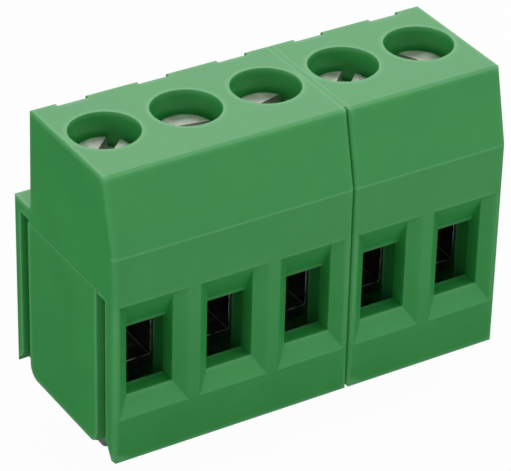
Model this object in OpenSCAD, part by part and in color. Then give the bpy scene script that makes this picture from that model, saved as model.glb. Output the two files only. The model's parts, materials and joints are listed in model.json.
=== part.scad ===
// Screw terminal row for a printed circuit board: a three-way and a two-way
// moulded block keyed together side by side, with a rising clamp in every pole.
// Millimetres, +Z up. X runs along the row, the wire entries face -Y.
// Origin: on the board face, at the middle of the solder pin row.

/* [Row] */
// Distance from one pole to the next
pitch = 5.08; // [5:0.01:6.5]
// Poles in the left block
left_poles = 3; // [1:1:4]
// Poles in the right block
right_poles = 2; // [1:1:4]

/* [Body] */
// Height of the top face over the board
body_h = 17.9; // [17.6:0.1:20]
// Depth from the front face to the back of the ledge
body_d = 11.6; // [11.5:0.1:14]
// Height of the crease where the front starts to lean back
crease_h = 13.35; // [12:0.05:15]
// How far the front leans back at the top
lean = 1.07; // [0.4:0.01:1.6]
// Depth of the ledge behind the upper body
ledge_d = 2; // [1.6:0.05:2.2]
// Height of the ledge
ledge_h = 11.5; // [11:0.05:12.5]
// Draft of the upper back wall, from ledge to top
back_draft = 0.16; // [0:0.01:0.4]
// How far the foot of the front face is drawn in
foot_draft = 0.1; // [0:0.01:0.3]
// Rise of the relief under the back edge
heel_h = 0.35; // [0.1:0.05:0.8]
// Depth of the relief under the back edge
heel_d = 1; // [0.4:0.05:1.6]
// Radius of the long edge between front and top
brow_r = 0.35; // [0.1:0.05:0.6]
// Radius of the block's upright edges
edge_r = 0.3; // [0.05:0.01:0.4]
// Radius of the edges round the top of each end
end_r = 0.14; // [0.05:0.01:0.3]
// Radius of the other long edges
soft_r = 0.14; // [0.04:0.01:0.25]

/* [Notches in the back of the top edge] */
// Width of the notch behind each pole
notch_w = 1.9; // [0.8:0.05:3]
// Depth of the notch
notch_d = 0.34; // [0.1:0.02:0.5]

/* [Wire windows] */
// Clear width of the window
window_w = 2.9; // [2.4:0.05:3.2]
// Height of the window's floor over the board
window_floor = 4.1; // [3.4:0.05:4.3]
// Height of the lip over the window
window_lip = 7.95; // [7:0.05:8.2]
// Depth of the bevel round the window
bevel_d = 0.56; // [0.2:0.02:0.8]
// Width of the flat post left between two windows
post_w = 0.72; // [0.4:0.02:1.2]
// Height where the bevel under the window starts
bevel_foot = 2.9; // [2:0.05:3.5]
// Height of the recess over the window
hood_top = 10.25; // [9.6:0.05:11]
// Drop of the recess from the front face to the hood
hood_step = 0.25; // [0.1:0.05:0.5]
// Radius of the posts' upright edges
post_r = 0.3; // [0.1:0.05:0.4]
// Thickness of the wall in front of the clamp space
front_wall = 1.6; // [1.45:0.05:1.8]
// Thickness of the lip itself
lip_t = 0.2; // [0.1:0.02:0.4]

/* [Screw wells] */
// Distance of the screw axis from the front face
axis_y = 5.54; // [5.2:0.02:6]
// Diameter of the well
well_d = 4.04; // [3.8:0.02:4.3]
// Depth of the screw head's top under the top face
head_depth = 1.3; // [0.6:0.05:2]
// Diameter of the hole under the screw head
neck_d = 3.4; // [3.2:0.05:3.5]
// Thickness of the shoulder under the screw head
shoulder_t = 0.6; // [0.4:0.05:1]

/* [Screws] */
// Diameter of the head
head_d = 3.6; // [3.5:0.05:3.7]
// Height of the head
head_h = 1.4; // [1:0.05:1.6]
// Radius of the head's upper edge
head_r = 0.32; // [0.1:0.02:0.5]
// Width of the driver slot
slot_w = 0.8; // [0.5:0.05:1]
// Depth of the driver slot
slot_d = 0.75; // [0.4:0.05:0.9]
// Diameter of the thread
thread_d = 2.9; // [2.5:0.05:3]
// Chamfer of the screw's tip
tip_c = 0.35; // [0.1:0.05:0.6]

/* [Rising clamps] */
// Clear width inside the clamp
clamp_in_w = 2.9; // [2.6:0.05:3]
// Thickness of the clamp's side walls
clamp_wall = 0.5; // [0.4:0.02:0.52]
// Thickness of the clamp's floor
clamp_floor = 0.65; // [0.4:0.05:0.8]
// Thickness of the clamp's roof
clamp_roof = 0.8; // [0.6:0.05:1]
// Depth of the clamp along the wire
clamp_d = 5; // [4:0.05:5.2]
// Height of the clamp's floor over the board, fully open
clamp_open = 4.4; // [4.2:0.05:4.6]
// Height of the threaded collar on the roof
collar_h = 1.15; // [0.6:0.05:1.2]
// Outer diameter of the threaded collar
collar_d = 3.8; // [3.6:0.05:3.9]
// Travel of the clamp
clamp_travel = 3.25; // [2:0.05:3.3]
// Outer corner radius of the bent clamp
clamp_r = 0.6; // [0.3:0.05:0.8]
// Width of a grip groove
grip_w = 0.3; // [0.15:0.05:0.4]
// Distance between grip grooves
grip_step = 1.2; // [0.8:0.1:1.4]

/* [Contacts] */
// Width of the contact strip
strip_w = 2.6; // [2:0.05:2.7]
// Thickness of the contact strip
strip_t = 0.8; // [0.6:0.02:0.9]
// Height of the bar's underside over the board
bar_h = 8.35; // [8.25:0.05:8.6]
// Height of the foot's underside over the board
foot_h = 1.2; // [1:0.05:1.6]
// Outer radius of the strip's bends
bend_r = 1; // [0.85:0.05:1.4]
// Reach of the foot in front of the pin
foot_reach = 2.4; // [2:0.05:2.45]

/* [Solder pins] */
// Distance of the pin row from the front face
pin_y = 5.5; // [5:0.05:6]
// Pin diameter
pin_d = 1; // [0.8:0.02:1.1]
// Pin length below the board face
pin_len = 2.8; // [2.4:0.05:5]
// Diameter of the pin's neck in the contact
pin_neck_d = 0.66; // [0.5:0.02:0.68]
// Diameter of the pin's collar and rivet head
pin_collar_d = 1.7; // [1.4:0.05:2]
// Height of the collar under the contact
pin_collar_h = 0.4; // [0.2:0.05:0.6]
// Height of the rivet head
rivet_h = 0.28; // [0.15:0.02:0.4]

/* [Side rails] */
// How far the rail stands proud of the left side
rail_proud = 0.06; // [0.04:0.01:0.14]
// Height of the rail's top
rail_h = 10.6; // [10.2:0.05:10.8]
// Height of the rail's foot
rail_foot = 0.3; // [0.2:0.05:1]
// Front edge of the rail, from the front face
rail_front = 1.81; // [1.75:0.02:1.9]
// Length of the rail, front to back
rail_d = 7.95; // [7.9:0.01:8]
// Thickness of the rail's undercut flange inside the side
flange_t = 0.44; // [0.3:0.01:0.46]
// How far the undercuts reach in behind the flange
undercut = 0.26; // [0.2:0.02:0.4]
// Height of the front groove's top
front_groove_h = 10.35; // [9.8:0.05:10.8]
// Height of the back groove's top
back_groove_h = 10.75; // [9.8:0.05:11]
// Width of the front groove
front_groove_w = 0.64; // [0.5:0.02:0.7]
// Depth of the front groove
front_groove_d = 0.7; // [0.6:0.01:0.74]
// Width of the back groove
back_groove_w = 0.98; // [0.7:0.02:1]
// Depth of the back groove
back_groove_d = 0.72; // [0.6:0.02:0.74]
// Radius of the rail's lower corners
rail_r = 0.8; // [0.2:0.05:1]
// Depth of the cut under the rail's foot
foot_cut = 0.3; // [0.2:0.01:0.4]
// Height of the lead-in cut at the foot of the grooves
lead_in = 1.15; // [0.5:0.05:1.4]
// Chamfer under the front corner strip
toe = 0.2; // [0.1:0.05:0.4]
// Draw-in of the front corner strip beside its groove
strip_draw = 0.12; // [0:0.01:0.2]

/* [Fits] */
// Gap round the sliding clamp
clamp_gap = 0.04; // [0.02:0.01:0.05]
// Gap between the keyed blocks
key_gap = 0.04; // [0.02:0.01:0.06]
// Gap round the contact in its slot
seat_gap = 0.05; // [0.02:0.01:0.08]
// Gap of the thread in its collar
thread_gap = 0.05; // [0.02:0.01:0.08]
// End play of the screw
end_play = 0.03; // [0.01:0.01:0.06]

/* [Hidden] */
poles = left_poles + right_poles;
row_len = poles * pitch;
$fn = 48;

eps = 0.01;              // overlap of cutters and added solids
far = 40;                // longer than any cut needs to be
arc_steps = 6;           // facets in a rounded corner of an outline

// Slot directions of the screws as they happen to stand, degrees from the row
slot_turns = [43, -10, 15, 44, -65];

back_y = body_d - ledge_d;                    // foot of the upper back wall
head_top = body_h - head_depth;
seat_z = head_top - head_h;                   // shoulder under the head
roof_z = seat_z - shoulder_t;                 // ceiling of the clamp space
clamp_w = clamp_in_w + 2 * clamp_wall;
space_w = clamp_w + 2 * clamp_gap;            // clamp space in the housing
space_front = axis_y - clamp_d / 2 - clamp_gap;
space_back = axis_y + clamp_d / 2 + clamp_gap;
bar_top = bar_h + strip_t;
clamp_top = bar_top + 0.1;                    // underside of the roof, fully open
leg_back = space_back + strip_t + 6 * seat_gap;   // back face of the contact's leg
leg_front = leg_back - strip_t;
throat_w = window_w + 0.3;                    // space behind the window
rail_back = rail_front + rail_d;
hook_foot = lead_in + 0.2;                    // lower end of the hooks
recess_d = rail_proud + key_gap;              // recess that takes the neighbour's rail
funnel_w = pitch - post_w;                    // window bevel at the front face
hood_back = front_wall - lip_t;               // the hood runs from here
hood_front = bevel_d * 0.8;                   // to here

green = [0.16, 0.52, 0.24];
zinc = [0.78, 0.78, 0.80];
tin = [0.72, 0.72, 0.70];

function pole_x(i) = (i - 0.5) * pitch;       // pole 1 is the leftmost

// Rounds the corners of an outline: corners are [x, y, radius]
function unit(v) = v / norm(v);
function corner_arc(a, b, c, r) =
    let (u = unit(a - b), v = unit(c - b), half = acos(u * v) / 2)
    let (centre = b + unit(u + v) * r / sin(half), start = b + u * r / tan(half) - centre)
    let (end = b + v * r / tan(half) - centre)
    let (from = atan2(start[1], start[0]), turn = atan2(end[1], end[0]) - from)
    let (sweep = turn > 180 ? turn - 360 : turn < -180 ? turn + 360 : turn)
    [for (k = [0:arc_steps]) let (t = from + sweep * k / arc_steps) centre + r * [cos(t), sin(t)]];
function rounded(corners) =
    let (n = len(corners), p = [for (q = corners) [q[0], q[1]]])
    [for (k = [0:n - 1])
        each corners[k][2] > 0
            ? corner_arc(p[(k + n - 1) % n], p[k], p[(k + 1) % n], corners[k][2])
            : [p[k]]];

// Outline in the Y-Z plane, run along X
module along_row(from, length) {
    translate([from, 0, 0]) rotate([90, 0, 90]) linear_extrude(length) children();
}

// Box from its lowest corner to its highest
module block(low, high) {
    translate(low) cube(high - low);
}

// The waste outside a rounded edge that runs up +Z at the origin, solid in +X +Y
module edge_waste(length, r) {
    reach = r / cos(45 / arc_steps);
    linear_extrude(length) polygon(concat(
        [[r, -r], [-r, -r], [-r, r]],
        [for (k = [0:arc_steps])
            let (t = 180 + 90 * k / arc_steps) [r + reach * cos(t), r + reach * sin(t)]]
    ));
}

// ---- Housing ----------------------------------------------------------

body_outline = rounded([
    [foot_draft, 0, soft_r / 2],
    [0, bevel_foot, 0],
    [0, crease_h, soft_r],
    [lean, body_h, brow_r],
    [back_y - back_draft, body_h, soft_r],
    [back_y, ledge_h, soft_r],
    [body_d, ledge_h, soft_r],
    [body_d, heel_h, soft_r],
    [body_d - heel_d, 0, 0],
]);

// Rounds one end's front upright, leaning front edge and top edge; mirrored for the far end
module end_rounding() {
    lean_len = norm([lean, body_h - crease_h]);
    lean_angle = atan2(lean, body_h - crease_h);
    translate([0, 0, -eps]) edge_waste(crease_h, edge_r);
    translate([0, 0, crease_h]) rotate([-lean_angle, 0, 0])
        translate([0, 0, -edge_r]) edge_waste(lean_len + 2 * edge_r, edge_r);
    translate([0, body_d + eps, body_h]) rotate([90, 0, 0]) mirror([0, 1, 0])
        edge_waste(body_d + 1, end_r);
    translate([0, body_d, heel_h - 1]) mirror([0, 1, 0]) edge_waste(2 * ledge_h, edge_r);
    translate([0, back_y, ledge_h]) rotate([atan2(back_draft, body_h - ledge_h), 0, 0])
        mirror([0, 1, 0]) translate([0, 0, soft_r]) edge_waste(body_h, end_r);
}

// Height of the curved hood over the window, at a distance from the front face
function hood_z(y) =
    let (s = (hood_back - y) / (hood_back - hood_front))
    window_lip + (hood_top - hood_step - window_lip) * (s - 0.25 * s * (1 - s));

// Bevelled mouth of a wire window, centred on the pole
module window_mouth() {
    slope = (funnel_w - window_w) / 2 / bevel_d;
    air = -eps / 2;
    intersection() {
        translate([0, 0, bevel_foot - 1]) linear_extrude(body_h - bevel_foot) polygon(rounded([
            [-pitch, -1, 0], [-pitch, air, 0],
            [-funnel_w / 2 + slope * air, air, post_r], [-window_w / 2, bevel_d, 0],
            [window_w / 2, bevel_d, 0], [funnel_w / 2 - slope * air, air, post_r],
            [pitch, air, 0], [pitch, -1, 0],
        ]));
        along_row(-pitch / 2, pitch) polygon([
            [-1, bevel_foot - (window_floor - bevel_foot) / bevel_d],
            [bevel_d, window_floor],
            [bevel_d, hood_z(bevel_d)],
            [hood_front, hood_z(hood_front)],
            [-1, hood_top + hood_step / hood_front],
        ]);
    }
}

// The way in through the front wall, under a hood that curves back to the lip
module window_way() {
    from = bevel_d - eps;
    along_row(-window_w / 2, window_w) polygon(concat(
        [[from, window_floor], [front_wall + eps, window_floor], [front_wall + eps, window_lip]],
        [for (k = [0:arc_steps])
            let (y = hood_back + (from - hood_back) * k / arc_steps) [y, hood_z(y)]]
    ));
}

// Everything cut out of the housing for one pole
module pole_space() {
    translate([0, axis_y, seat_z]) cylinder(d = well_d, h = far);
    translate([0, axis_y, roof_z - eps]) cylinder(d = neck_d, h = shoulder_t + 2 * eps);
    block([-space_w / 2, space_front, -far], [space_w / 2, space_back, roof_z]);
    block([-strip_w / 2 - seat_gap, space_front, -far],
          [strip_w / 2 + seat_gap, leg_back + seat_gap, bar_top + seat_gap]);
    block([-throat_w / 2, front_wall, foot_h], [throat_w / 2, space_back, bar_top + seat_gap]);
    window_mouth();
    window_way();
    block([-notch_w / 2, back_y - back_draft - notch_d, ledge_h], [notch_w / 2, body_d, far]);
}

// Grooves that leave the undercut rail standing in the left side
module rail_grooves() {
    below = -1;
    front_in = rail_front - front_groove_w;
    back_in = rail_back + back_groove_w;
    translate([0, 0, below]) linear_extrude(front_groove_h - below) {
        polygon([
            [-1, front_in], [front_groove_d, front_in], [front_groove_d, rail_front + undercut],
            [flange_t, rail_front + undercut], [flange_t, rail_front], [-1, rail_front],
        ]);
        polygon([[-1, edge_r], [0, edge_r], [strip_draw, front_in + eps], [-1, front_in + eps]]);
    }
    translate([0, 0, below]) linear_extrude(back_groove_h - below) polygon([
        [-1, back_in], [back_groove_d, back_in], [back_groove_d, rail_back - undercut],
        [flange_t, rail_back - undercut], [flange_t, rail_back], [-1, rail_back],
    ]);
}

// Slanted cuts at the foot of the grooves, so that the blocks slide together from above
module lead_ins() {
    front_in = rail_front - front_groove_w;
    back_in = rail_back + back_groove_w;
    along_row(-1, 1 + front_groove_d) polygon([
        [edge_r, -1], [edge_r, toe], [(edge_r + front_in) / 2, lead_in * 0.55], [front_in, lead_in],
        [rail_front, lead_in], [rail_front, -1],
    ]);
    along_row(-1, 1 + back_groove_d) polygon([
        [body_d - soft_r, -1], [body_d - soft_r, heel_h], [back_in, lead_in],
        [rail_back, lead_in], [rail_back, -1],
    ]);
    translate([0, -1, 0]) rotate([-90, 0, 0]) linear_extrude(1 + front_in)
        polygon([[-1, -toe - 1], [toe + 1, 1], [-1, 1]]);
    // the rail ends above the foot, with rounded lower corners; its front corner stands free
    for (cut = [[foot_cut, rail_back], [front_groove_d, rail_front + rail_r]])
        along_row(-1, 1 + cut[0]) difference() {
            polygon([
                [rail_front - eps, -1], [rail_front - eps, rail_foot + rail_r],
                [cut[1] + eps, rail_foot + rail_r], [cut[1] + eps, -1],
            ]);
            polygon(rail_outline);
        }
}

// Outline of the rail's face
rail_outline = rounded([
    [rail_front, rail_foot, rail_r], [rail_front, rail_h, 0],
    [rail_back, rail_h, 0], [rail_back, rail_foot, rail_r],
]);

// The rail's proud face, with its lower corners rounded
module rail_face() {
    along_row(-rail_proud, rail_proud + eps) polygon(rail_outline);
}

// Hooks on the right side, which grip behind the next block's rail
module hooks() {
    front_in = rail_front - front_groove_w;
    back_in = rail_back + back_groove_w;
    g = key_gap;
    root = -recess_d - eps;
    translate([0, 0, hook_foot]) {
        linear_extrude(front_groove_h - g - hook_foot) polygon([
            [root, front_in + strip_draw + g], [front_groove_d - g, front_in + g],
            [front_groove_d - g, rail_front + undercut - g], [flange_t + g, rail_front + undercut - g],
            [flange_t + g, rail_front - g], [root, rail_front - g],
        ]);
        linear_extrude(back_groove_h - g - hook_foot) polygon([
            [root, back_in - g], [back_groove_d - g, back_in - g],
            [back_groove_d - g, rail_back - undercut + g], [flange_t + g, rail_back - undercut + g],
            [flange_t + g, rail_back + g], [root, rail_back + g],
        ]);
    }
}

// A block of so many poles, its left side at X = 0
module housing(count) {
    length = count * pitch;
    color(green) {
        difference() {
            along_row(0, length) polygon(body_outline);
            end_rounding();
            translate([length, 0, 0]) mirror([1, 0, 0]) end_rounding();
            for (i = [1:count]) translate([pole_x(i), 0, 0]) pole_space();
            rail_grooves();
            lead_ins();
            block([length - recess_d, rail_front - key_gap, -1],
                  [length + 1, rail_back + key_gap, rail_h + key_gap]);
        }
        rail_face();
        translate([length, 0, 0]) hooks();
    }
}

// ---- Metal parts, each centred on its pole ------------------------------

// Slotted head in the well, plain shank down to the contact bar
module screw(turn) {
    tip_z = bar_top + end_play;
    color(zinc) translate([0, axis_y, 0]) rotate([0, 0, turn]) difference() {
        rotate_extrude() polygon(concat(
            [[0, tip_z], [thread_d / 2 - tip_c, tip_z], [thread_d / 2, tip_z + tip_c],
             [thread_d / 2, seat_z + end_play + eps], [head_d / 2, seat_z + end_play + eps]],
            [for (k = [0:arc_steps]) let (t = 90 * k / arc_steps)
                [head_d / 2 - head_r + head_r * cos(t), head_top - head_r + head_r * sin(t)]],
            [[0, head_top]]
        ));
        translate([-head_d, -slot_w / 2, head_top - slot_d]) cube([2 * head_d, slot_w, far]);
    }
}

// Bent sleeve that rises on the screw, with a threaded collar on its roof
module clamp() {
    floor_z = clamp_open - clamp_floor;
    low = axis_y - clamp_d / 2;
    inner_r = clamp_r - clamp_wall > 0.06 ? clamp_r - clamp_wall : 0.06;
    color(zinc) difference() {
        union() {
            translate([0, low, 0]) rotate([-90, 0, 0]) mirror([0, 1, 0]) linear_extrude(clamp_d)
                difference() {
                    polygon(rounded([
                        [-clamp_w / 2, floor_z, clamp_r], [clamp_w / 2, floor_z, clamp_r],
                        [clamp_w / 2, clamp_top + clamp_roof, clamp_r],
                        [-clamp_w / 2, clamp_top + clamp_roof, clamp_r],
                    ]));
                    polygon(rounded([
                        [-clamp_in_w / 2, clamp_open, inner_r], [clamp_in_w / 2, clamp_open, inner_r],
                        [clamp_in_w / 2, clamp_top, inner_r], [-clamp_in_w / 2, clamp_top, inner_r],
                    ]));
                }
            translate([0, axis_y, clamp_top + clamp_roof / 2])
                cylinder(d = collar_d, h = clamp_roof / 2 + collar_h);
        }
        translate([0, axis_y, clamp_top - eps])
            cylinder(d = thread_d + 2 * thread_gap, h = far);
        // grip grooves across the floor
        for (k = [-1:1]) translate([0, axis_y + k * grip_step, clamp_open])
            cube([clamp_in_w - 0.4, grip_w, grip_w * 0.8], center = true);
    }
}

// Bent strip: bar over the wire, leg down the back, and a wide foot that closes the space below
module contact() {
    foot_front = pin_y - foot_reach;
    foot_back = space_back - clamp_gap;
    inner_r = bend_r - strip_t;
    color(tin) difference() {
        union() {
            along_row(-strip_w / 2, strip_w) polygon(rounded([
                [front_wall + seat_gap, bar_top, 0.1], [leg_back, bar_top, bend_r],
                [leg_back, foot_h, bend_r], [pin_y, foot_h, 0],
                [pin_y, foot_h + strip_t, 0], [leg_front, foot_h + strip_t, inner_r],
                [leg_front, bar_h, inner_r], [front_wall + seat_gap, bar_h, 0.1],
            ]));
            translate([0, 0, foot_h]) linear_extrude(strip_t) polygon(rounded([
                [-clamp_w / 2, foot_front, 0.3], [clamp_w / 2, foot_front, 0.3],
                [clamp_w / 2, foot_back, 0.3], [-clamp_w / 2, foot_back, 0.3],
            ]));
        }
        translate([0, pin_y, foot_h - 1]) cylinder(d = pin_neck_d, h = strip_t + 2);
        // grip grooves across the bar's underside
        for (k = [-1:1]) translate([0, axis_y + (k + 0.5) * grip_step, bar_h])
            cube([strip_w + 1, grip_w, grip_w * 0.8], center = true);
    }
}

// Turned pin, riveted into the contact's foot
module solder_pin() {
    r = pin_d / 2;
    top_z = foot_h + strip_t;
    color(tin) translate([0, pin_y, 0]) rotate_extrude() polygon(concat(
        [[0, -pin_len], [r - 0.2, -pin_len], [r, -pin_len + 0.3],
         [r, foot_h - pin_collar_h], [pin_collar_d / 2, foot_h - pin_collar_h],
         [pin_collar_d / 2, foot_h], [pin_neck_d / 2, foot_h], [pin_neck_d / 2, top_z]],
        [for (k = [0:arc_steps]) let (t = 90 * k / arc_steps)
            [pin_collar_d / 2 * cos(t), top_z + rivet_h * sin(t)]]
    ));
}

// Moves a piece of pole i from the block's corner to the row's own frame
module at_pole(i) {
    translate([pole_x(i) - row_len / 2, -pin_y, 0]) children();
}

module left_housing() {
    translate([-row_len / 2, -pin_y, 0]) housing(left_poles);
}

module right_housing() {
    translate([left_poles * pitch - row_len / 2, -pin_y, 0]) housing(right_poles);
}

left_housing();
right_housing();
for (i = [1:poles]) {
    at_pole(i) screw(slot_turns[(i - 1) % len(slot_turns)]);
    at_pole(i) clamp();
    at_pole(i) contact();
    at_pole(i) solder_pin();
}
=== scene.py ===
import json
import math

import bmesh
import bpy
from mathutils import Matrix, Vector


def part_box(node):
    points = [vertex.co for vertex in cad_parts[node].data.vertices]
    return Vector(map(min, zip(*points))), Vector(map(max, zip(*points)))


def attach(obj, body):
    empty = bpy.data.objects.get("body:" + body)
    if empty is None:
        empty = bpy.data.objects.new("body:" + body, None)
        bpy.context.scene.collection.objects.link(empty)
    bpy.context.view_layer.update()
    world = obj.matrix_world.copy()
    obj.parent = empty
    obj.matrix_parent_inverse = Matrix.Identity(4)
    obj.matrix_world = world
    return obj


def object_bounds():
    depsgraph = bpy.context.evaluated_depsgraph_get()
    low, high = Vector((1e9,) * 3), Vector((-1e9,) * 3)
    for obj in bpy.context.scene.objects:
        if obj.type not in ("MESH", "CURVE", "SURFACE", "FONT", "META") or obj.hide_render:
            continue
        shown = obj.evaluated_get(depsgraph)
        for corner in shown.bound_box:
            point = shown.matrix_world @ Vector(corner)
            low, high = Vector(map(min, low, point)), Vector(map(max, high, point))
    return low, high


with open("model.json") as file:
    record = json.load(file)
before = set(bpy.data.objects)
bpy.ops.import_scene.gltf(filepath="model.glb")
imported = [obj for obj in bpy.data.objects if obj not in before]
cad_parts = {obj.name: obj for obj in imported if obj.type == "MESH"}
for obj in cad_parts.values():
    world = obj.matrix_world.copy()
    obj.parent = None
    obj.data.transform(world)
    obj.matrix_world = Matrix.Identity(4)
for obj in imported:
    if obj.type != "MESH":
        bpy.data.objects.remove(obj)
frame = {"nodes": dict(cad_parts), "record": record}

cad_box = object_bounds()

MM = 0.001
nodes = frame["nodes"]
slot_of = {part["node"]: part["material_slot"] for part in frame["record"]["subparts"]}


# ---- Shader maths as plain expressions ----------------------------------

class Wire:
    """A number, colour or vector in a material; sums and products of wires add the Math nodes."""

    def __init__(self, material, socket):
        self.material = material
        self.socket = socket

    def _math(self, operation, *values):
        return self.material.node("Math", {"operation": operation}, *values)

    def __add__(self, other):
        return self._math("ADD", self, other)

    def __sub__(self, other):
        return self._math("SUBTRACT", self, other)

    def __rsub__(self, other):
        return self._math("SUBTRACT", other, self)

    def __mul__(self, other):
        return self._math("MULTIPLY", self, other)

    __radd__ = __add__
    __rmul__ = __mul__

    def ramp(self, low, high):
        """0 at low and 1 at high, smooth between them."""
        settings = {"interpolation_type": "SMOOTHSTEP"}
        ends = {"From Min": low, "From Max": high}
        return self.material.node("MapRange", settings, Value=self, **ends)


class Material:
    """A procedural finish: constants on the shader, and wires for what varies."""

    def __init__(self, name, **constants):
        self.data = bpy.data.materials.new(name)
        self.data.use_nodes = True
        self.tree = self.data.node_tree
        self.shader = self.tree.nodes["Principled BSDF"]
        for socket, value in constants.items():
            self.shader.inputs[socket.replace("_", " ")].default_value = value

    def node(self, kind, settings=None, *values, out=0, **named):
        """Adds a node: its settings first, then its inputs in order and by name."""
        made = self.tree.nodes.new("ShaderNode" + kind)
        for key, value in (settings or {}).items():
            setattr(made, key, value)
        for socket, value in list(enumerate(values)) + list(named.items()):
            self.feed(made.inputs[socket], value)
        return Wire(self, made.outputs[out])

    def feed(self, socket, value):
        if isinstance(value, Wire):
            self.tree.links.new(value.socket, socket)
        else:
            socket.default_value = value

    def place(self):
        """The point on the part in millimetres."""
        point = self.node("TexCoord", out="Object")
        return self.node("VectorMath", {"operation": "SCALE"}, point, Scale=1 / MM)

    def part_of(self, point, axis):
        """The X, Y or Z of a point."""
        return self.node("SeparateXYZ", None, point, out="XYZ".index(axis))

    def grain(self, point, scale, detail=2.0):
        """Even noise from 0 to 1 with grains of about 1/scale millimetres."""
        return self.node("TexNoise", None, Vector=point, Scale=scale, Detail=detail)

    def blend(self, share, low, high):
        """One colour turning into another as share goes from 0 to 1."""
        mix = self.node("Mix", {"data_type": "RGBA"}, out=2)
        ends = mix.socket.node.inputs
        for socket, value in ((ends[0], share), (ends[6], low), (ends[7], high)):
            self.feed(socket, value)
        return mix

    def relief(self, height, depth_mm, edge_mm=0.0):
        """Surface relief of that depth, over edges rolled to that radius if one is given."""
        bump = self.node("Bump", None, Height=height, Distance=depth_mm * MM)
        if edge_mm:
            rolled = self.node("Bevel", {"samples": EDGE_SAMPLES}, Radius=edge_mm * MM)
            self.feed(bump.socket.node.inputs["Normal"], rolled)
        self.feed(self.shader.inputs["Normal"], bump)

    def set(self, socket, value):
        self.feed(self.shader.inputs[socket], value)


def rgb(red, green, blue):
    return (red, green, blue, 1.0)


def grey(level):
    return rgb(level, level, level)


# ---- Finishes, with lengths in millimetres -------------------------------

EDGE_SAMPLES = 6
EDGE_HIGHLIGHT_SAMPLES = 12

GREEN_SKIN = (rgb(0.024, 0.315, 0.060), rgb(0.030, 0.335, 0.066))
# painted highlight: the paler green that convex edges and the crease line are mixed towards
GREEN_EDGE_HIGHLIGHT = rgb(0.150, 0.520, 0.200)
EDGE_HIGHLIGHT_REACH = 0.45            # how far in from an edge the painted highlight can show
EDGE_HIGHLIGHT_SHARE = 0.5             # how much of the painted highlight colour the edges take
CREASE_HIGHLIGHT_SHARE = 0.35          # and the crease line, also a painted highlight
MOULDED_EDGE = 0.11          # radius of the plastic's edges

FRONT_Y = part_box("left_housing")[0][1] / MM
CREASE_H = 13.35             # height where the front starts to lean back
CREASE_HIGHLIGHT_HALF = 0.07           # half the width of its painted highlight line

ZINC = (rgb(0.56, 0.54, 0.50), rgb(0.72, 0.70, 0.66))
# painted shade: the nickel is kept near black so the sleeves read as shadowed inside the housing
SHADED_NICKEL = (rgb(0.16, 0.155, 0.15), rgb(0.24, 0.235, 0.23))
TIN = (rgb(0.80, 0.79, 0.77), rgb(0.90, 0.89, 0.87))
DRAWN_ALONG = (1.0, 0.15, 12.0)        # stretch of the drawing lines in x, y and z

CLAMP_FRONT_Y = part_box("clamp_1")[0][1] / MM
EDGE_SHADE_AND_HIGHLIGHT = (grey(0.005), grey(0.95))     # painted shade inside the sleeve, and painted highlight on its front edges


def green_polyamide(name, highlit_rolled_edges):
    """Moulded green plastic: a satin skin with faint flow clouds, and painted highlights on the
    edges and along the crease if asked.
    """
    finish = Material(name, IOR=1.5)
    point = finish.place()
    clouds = finish.grain(point, 0.35, detail=3.0)
    fine = finish.grain(point, 9.0, detail=3.0)
    skin = finish.blend(clouds.ramp(0.3, 0.7), *GREEN_SKIN)
    if highlit_rolled_edges:
        # painted highlight on convex edges, found by inward occlusion, and on a thin line along the
        # front's crease
        settings = {"inside": True, "only_local": True, "samples": EDGE_HIGHLIGHT_SAMPLES}
        within = finish.node("AmbientOcclusion", settings, out=1, Distance=EDGE_HIGHLIGHT_REACH * MM)
        above = finish.part_of(point, "Z") - CREASE_H
        from_crease = finish.node("Math", {"operation": "ABSOLUTE"}, above)
        in_front = 1.0 - finish.part_of(point, "Y").ramp(FRONT_Y + 0.3, FRONT_Y + 0.5)
        off_crease = from_crease.ramp(CREASE_HIGHLIGHT_HALF * 0.4, CREASE_HIGHLIGHT_HALF * 1.6)
        crease = (1.0 - off_crease) * in_front
        edge = (1.0 - within).ramp(0.05, 0.40) * EDGE_HIGHLIGHT_SHARE + crease * CREASE_HIGHLIGHT_SHARE
        skin = finish.blend(edge, skin, GREEN_EDGE_HIGHLIGHT)
    finish.set("Base Color", skin)
    finish.set("Roughness", clouds * 0.06 + 0.36)
    finish.relief(fine + clouds * 2.0, 0.004, edge_mm=MOULDED_EDGE if highlit_rolled_edges else 0)
    return finish.data


def zinc_steel():
    """Zinc-plated steel: matte, with small dull patches."""
    finish = Material("zinc_steel", Metallic=1.0)
    point = finish.place()
    patches = finish.grain(point, 1.6, detail=4.0)
    pits = finish.grain(point, 14.0)
    finish.set("Base Color", finish.blend(patches.ramp(0.35, 0.7), *ZINC))
    finish.set("Roughness", patches * 0.2 + 0.34)
    finish.relief(pits, 0.012)
    return finish.data


def nickel_brass():
    """Nickel-plated brass, darkened as painted shade for the sleeve inside the housing: satin, with
    fine drawing lines along the sleeve's sides.
    """
    finish = Material("nickel_brass", Metallic=1.0)
    point = finish.place()
    drawn = finish.node("VectorMath", {"operation": "MULTIPLY"}, point, DRAWN_ALONG)
    lines = finish.grain(drawn, 2.0)
    clouds = finish.grain(point, 1.2, detail=3.0)
    finish.set("Base Color", finish.blend(clouds.ramp(0.3, 0.7), *SHADED_NICKEL))
    finish.set("Roughness", lines * 0.10 + 0.20)
    finish.relief(lines, 0.004)
    return finish.data


def tin_copper():
    """Tinned copper alloy: pale, dull and slightly cloudy."""
    finish = Material("tin_copper", Metallic=1.0)
    point = finish.place()
    clouds = finish.grain(point, 1.8, detail=4.0)
    finish.set("Base Color", finish.blend(clouds.ramp(0.3, 0.7), *TIN))
    finish.set("Roughness", clouds * 0.2 + 0.32)
    finish.relief(clouds, 0.006)
    return finish.data


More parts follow.
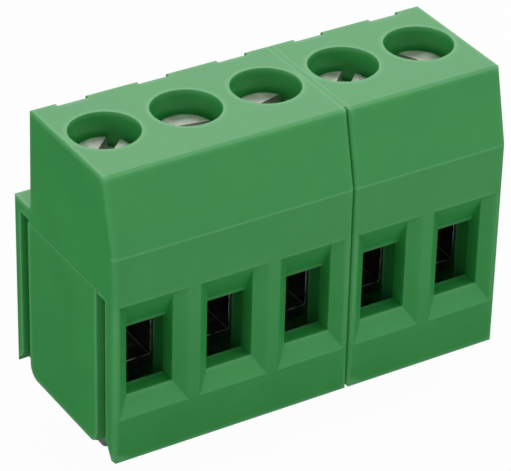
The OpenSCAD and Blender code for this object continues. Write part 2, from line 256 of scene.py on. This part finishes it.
def edge_highlight_and_shade():
    """Metal on the rolled edges: a painted highlight in patches on the edges that face the wire,
    and painted shade, near black, on those inside.
    """
    finish = Material("edge_highlight_and_shade", Metallic=1.0)
    point = finish.place()
    blotches = finish.grain(point, 2.5, detail=3.0)
    depth = finish.part_of(point, "Y")
    front = 1.0 - depth.ramp(CLAMP_FRONT_Y + 0.1, CLAMP_FRONT_Y + 0.2)
    # painted highlight in patches on the front edges, painted shade near black on the other rolled
    # edges
    finish.set("Base Color", finish.blend(blotches.ramp(0.35, 0.6) * front, *EDGE_SHADE_AND_HIGHLIGHT))
    finish.set("Roughness", blotches * 0.2 + 0.30)
    return finish.data


EDGE_HIGHLIGHT_AND_SHADE_FINISH = edge_highlight_and_shade()
FINISHES = {
    "green_polyamide": green_polyamide("green_polyamide", highlit_rolled_edges=True),
    "zinc_steel": zinc_steel(),
    "nickel_brass": nickel_brass(),
    "tin_copper": tin_copper(),
}


# ---- The CAD pieces -------------------------------------------------------

CLAMP_EDGE, METAL_EDGE = 0.04, 0.05    # how wide the metal's edges are rolled, mm
SHARP = math.radians(40)
WELD_MM = 0.001


def dress(obj, slot):
    """Gives a piece its finish."""
    obj.data.materials.clear()
    obj.data.materials.append(FINISHES[slot])


def roll_edges(obj, width_mm, finish=None):
    """Rolls the sharp edges over so that they catch the light, in their own finish if given."""
    weld = obj.modifiers.new("closed_seams", "WELD")
    weld.merge_threshold = WELD_MM * MM
    bevel = obj.modifiers.new("rolled_edges", "BEVEL")
    bevel.width = width_mm * MM
    bevel.segments = 2
    bevel.limit_method = "ANGLE"
    bevel.angle_limit = SHARP
    if finish:
        obj.data.materials.append(finish)
        bevel.material = 1


for name, obj in nodes.items():
    dress(obj, slot_of[name])
    if name.startswith("clamp_"):
        roll_edges(obj, CLAMP_EDGE, EDGE_HIGHLIGHT_AND_SHADE_FINISH)
    elif not name.endswith("_housing"):
        roll_edges(obj, METAL_EDGE)


# ---- The flash along the top of the seam, in millimetres ------------------

SEAM_X = 2.54                # where the two blocks meet
FLASH_ENDS = (-4.1, 3.8)     # where it starts and ends along the seam
FLASH_CREST = (0.15, 0.007)  # half its width at the crest, and how far that lies under the top face
FLASH_FOOT = (0.02, 0.35)    # the same at its foot


def seam_flash():
    """The thin flash that closes the seam between the two blocks along the top face."""
    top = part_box("left_housing")[1][2] / MM
    mesh = bmesh.new()
    corners = [(-1, *FLASH_CREST), (1, *FLASH_CREST), (1, *FLASH_FOOT), (-1, *FLASH_FOOT)]
    near, far = [[mesh.verts.new(Vector((SEAM_X + side * half, y, top - down)) * MM)
                  for side, half, down in corners] for y in FLASH_ENDS]
    mesh.faces.new(near[::-1])
    mesh.faces.new(far)
    for corner in range(len(corners)):
        after = (corner + 1) % len(corners)
        mesh.faces.new((near[corner], near[after], far[after], far[corner]))
    bmesh.ops.recalc_face_normals(mesh, faces=mesh.faces)
    data = bpy.data.meshes.new("seam_flash")
    mesh.to_mesh(data)
    mesh.free()
    data.materials.append(green_polyamide("green_flash", highlit_rolled_edges=False))
    flash = bpy.data.objects.new("seam_flash", data)
    bpy.context.collection.objects.link(flash)
    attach(flash, "block")


seam_flash()


# ---- Studio ---------------------------------------------------------------

FLOOR_SIZE = 4.0
FLOOR_PAINT = 0.68
FLOOR_GLOW = 0.97
FLOOR_GLOW_IN_GLOSS = 0.9
GLOSS_SHADE_EDGE = (-22.0, -5.0)    # where the floor, as seen in gloss, turns from white to the painted shade; y in mm
# painted shade: how dark the floor glows in gloss under and behind the part
GLOSS_SHADE_LEVEL = 0.08
WORLD_STRENGTH = 0.42
LAMP_DISTANCE = 0.5
LAMP_SIZE = 0.3
LAMPS = {                    # azimuth and elevation in degrees, and power in watts
    "key_lamp": (70, 60, 0.70),
    "rim_lamp": (152, 40, 0.50),
    "left_lamp": (-85, 8, 0.75),
    "front_lamp": (15, 8, 0.15),
}
CAMERA_AIM = Vector((-0.99, -0.87, 8.93)) * MM
CAMERA_ANGLES = (-31.88, 31.91, 1.41)  # azimuth, elevation and roll, in degrees
CAMERA_DISTANCE = 172.7 * MM
CAMERA_LENS = 215.43
CAMERA_NEAR = 0.01


def direction(azimuth, elevation):
    """A unit vector from the part. Azimuth 0 is in front, and 90 is to the right."""
    turn, lift = math.radians(azimuth), math.radians(elevation)
    return Vector((math.sin(turn) * math.cos(lift), -math.cos(turn) * math.cos(lift),
                   math.sin(lift)))


def plane(name, size, location):
    mesh = bpy.data.meshes.new(name)
    half = size / 2
    corners = [(-half, -half, 0), (half, -half, 0), (half, half, 0), (-half, half, 0)]
    mesh.from_pydata(corners, [], [(0, 1, 2, 3)])
    obj = bpy.data.objects.new(name, mesh)
    obj.location = location
    bpy.context.collection.objects.link(obj)
    return obj


def ray_share(tree, camera_share, gloss_share):
    """One share for the camera's own rays, another for those in gloss or through glass."""
    def join(operation, first, second):
        made = tree.nodes.new("ShaderNodeMath")
        made.operation = operation
        for socket, value in zip(made.inputs, (first, second)):
            if isinstance(value, float):
                socket.default_value = value
            else:
                tree.links.new(value, socket)
        return made.outputs[0]

    path = tree.nodes.new("ShaderNodeLightPath").outputs
    indirect = join("MAXIMUM", path["Is Glossy Ray"], path["Is Transmission Ray"])
    return join("ADD", join("MULTIPLY", path["Is Camera Ray"], camera_share),
                join("MULTIPLY", indirect, gloss_share))


def make_floor(level):
    """A pale floor that glows where it is looked at, so that only a faint shadow stays.

    Gloss sees it glowing white in front of the part, and darkened under and behind it, a painted
    shade in the reflections.
    """
    floor = plane("floor", FLOOR_SIZE, (0, 0, level))
    paint = Material("pale_floor", Base_Color=grey(FLOOR_PAINT), Roughness=0.9)
    tree = paint.tree
    point = paint.place()
    looked_at = paint.node("LightPath", out="Is Camera Ray")
    # painted shade: the glow seen in gloss darkens behind the part along y
    behind = paint.part_of(point, "Y").ramp(*GLOSS_SHADE_EDGE)
    gloss_shade = paint.blend(behind, grey(1), grey(GLOSS_SHADE_LEVEL))
    glow = tree.nodes.new("ShaderNodeEmission")
    paint.feed(glow.inputs["Color"], paint.blend(looked_at, gloss_shade, grey(1)))
    mix = tree.nodes.new("ShaderNodeMixShader")
    tree.links.new(ray_share(tree, FLOOR_GLOW, FLOOR_GLOW_IN_GLOSS), mix.inputs[0])
    tree.links.new(paint.shader.outputs[0], mix.inputs[1])
    tree.links.new(glow.outputs[0], mix.inputs[2])
    tree.links.new(mix.outputs[0], tree.nodes["Material Output"].inputs["Surface"])
    floor.data.materials.append(paint.data)


def make_world(strength):
    """Even light of that strength, seen as white where it is looked at."""
    world = bpy.data.worlds.new("studio")
    bpy.context.scene.world = world
    world.use_nodes = True
    tree = world.node_tree
    background = tree.nodes["Background"]
    background.inputs["Color"].default_value = grey(1)
    level = tree.nodes.new("ShaderNodeMix")
    level.data_type = "FLOAT"
    level.inputs[2].default_value = strength
    level.inputs[3].default_value = 1.0
    tree.links.new(ray_share(tree, 1.0, 1.0), level.inputs[0])
    tree.links.new(level.outputs[0], background.inputs["Strength"])


def make_lamp(name, aim, azimuth, elevation, power):
    """A square soft lamp that faces the part."""
    lamp = bpy.data.lights.new(name, "AREA")
    lamp.size = LAMP_SIZE
    lamp.energy = power
    obj = bpy.data.objects.new(name, lamp)
    away = direction(azimuth, elevation)
    obj.location = aim + away * LAMP_DISTANCE
    obj.rotation_euler = away.to_track_quat("Z", "Y").to_euler()
    bpy.context.collection.objects.link(obj)


def make_camera(aim, azimuth, elevation, roll, distance, lens):
    """Looks at the aim point, turned by roll about its own axis."""
    camera = bpy.data.cameras.new("camera")
    camera.lens = lens
    camera.clip_start = CAMERA_NEAR
    obj = bpy.data.objects.new("camera", camera)
    away = direction(azimuth, elevation)
    upright = away.to_track_quat("Z", "Y").to_matrix().to_4x4()
    tilt = Matrix.Rotation(math.radians(roll), 4, "Z")
    obj.matrix_world = Matrix.Translation(aim + away * distance) @ upright @ tilt
    bpy.context.collection.objects.link(obj)
    bpy.context.scene.camera = obj


lowest, highest = cad_box
make_floor(lowest[2])
make_world(WORLD_STRENGTH)
middle = Vector((0, 0, highest[2] / 2))
for name, (azimuth, elevation, power) in LAMPS.items():
    make_lamp(name, middle, azimuth, elevation, power)
make_camera(CAMERA_AIM, *CAMERA_ANGLES, CAMERA_DISTANCE, CAMERA_LENS)

bpy.context.scene.view_settings.view_transform = "Standard"
